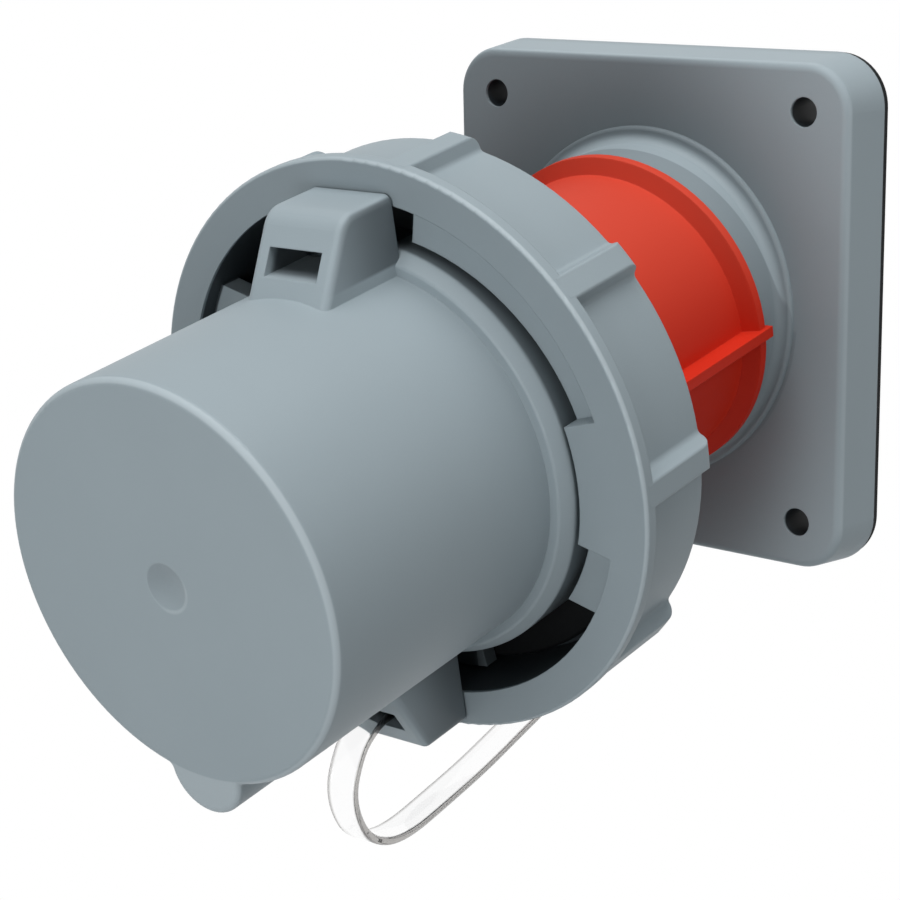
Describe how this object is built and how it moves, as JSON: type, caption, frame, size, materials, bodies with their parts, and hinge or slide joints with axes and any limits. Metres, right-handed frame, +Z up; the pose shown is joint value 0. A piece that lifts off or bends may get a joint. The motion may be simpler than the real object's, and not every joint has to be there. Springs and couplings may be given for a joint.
{
  "type": "pin and sleeve inlet",
  "caption": "Panel-mounted pin and sleeve power inlet with a leaning red body, a bayonet locking ring and a protective cap on a strap.",
  "frame": {"origin": "centre of the four fixing holes, on the gasket face that meets the panel", "axes": "-Y out of the panel towards the connector, +Z up, +X to the right seen from the front; the body leans down by 10 degrees"},
  "size_m": [0.115, 0.1874, 0.1467],
  "materials": {
    "grey_housing": "satin, fine moulded grain",
    "red_body": "satin",
    "dark_insulator": "matte",
    "black_rubber": "matte",
    "contact_metal": "nickel plated, turned",
    "screw_steel": "zinc plated",
    "clear_plastic": "clear, glossy"
  },
  "bodies": {
    "inlet": {"flange_housing": "grey_housing", "flange_gasket": "black_rubber", "red_shroud": "red_body", "body_o_ring": "black_rubber", "body_nut": "dark_insulator", "pin_carrier": "dark_insulator", "pin_retainer": "dark_insulator", "terminal_fence": "dark_insulator", "earth_pin": "contact_metal", "phase_pin_1": "contact_metal", "phase_pin_2": "contact_metal", "phase_pin_3": "contact_metal", "neutral_pin": "contact_metal", "pilot_pin": "contact_metal", "terminal_screws": "screw_steel", "pilot_screw": "screw_steel", "carrier_screws": "screw_steel", "retainer_screws": "screw_steel", "ring_clip": "screw_steel", "shroud_seal": "black_rubber", "cap_strap": "clear_plastic"},
    "ring": {"locking_ring": "grey_housing"},
    "cap": {"protective_cap": "grey_housing"}
  },
  "joints": [
    {"name": "ring_turn", "type": "hinge", "parent": "inlet", "child": "ring", "pos_m": [0, -0.0139, 0], "axis": [0, -0.9848, -0.1736], "range_deg": [0, 60]},
    {"name": "cap_pull", "type": "slide", "parent": "inlet", "child": "cap", "axis": [0, -0.9848, -0.1736], "range_m": [0, 0.072], "deforming": ["cap_strap"]}
  ]
}
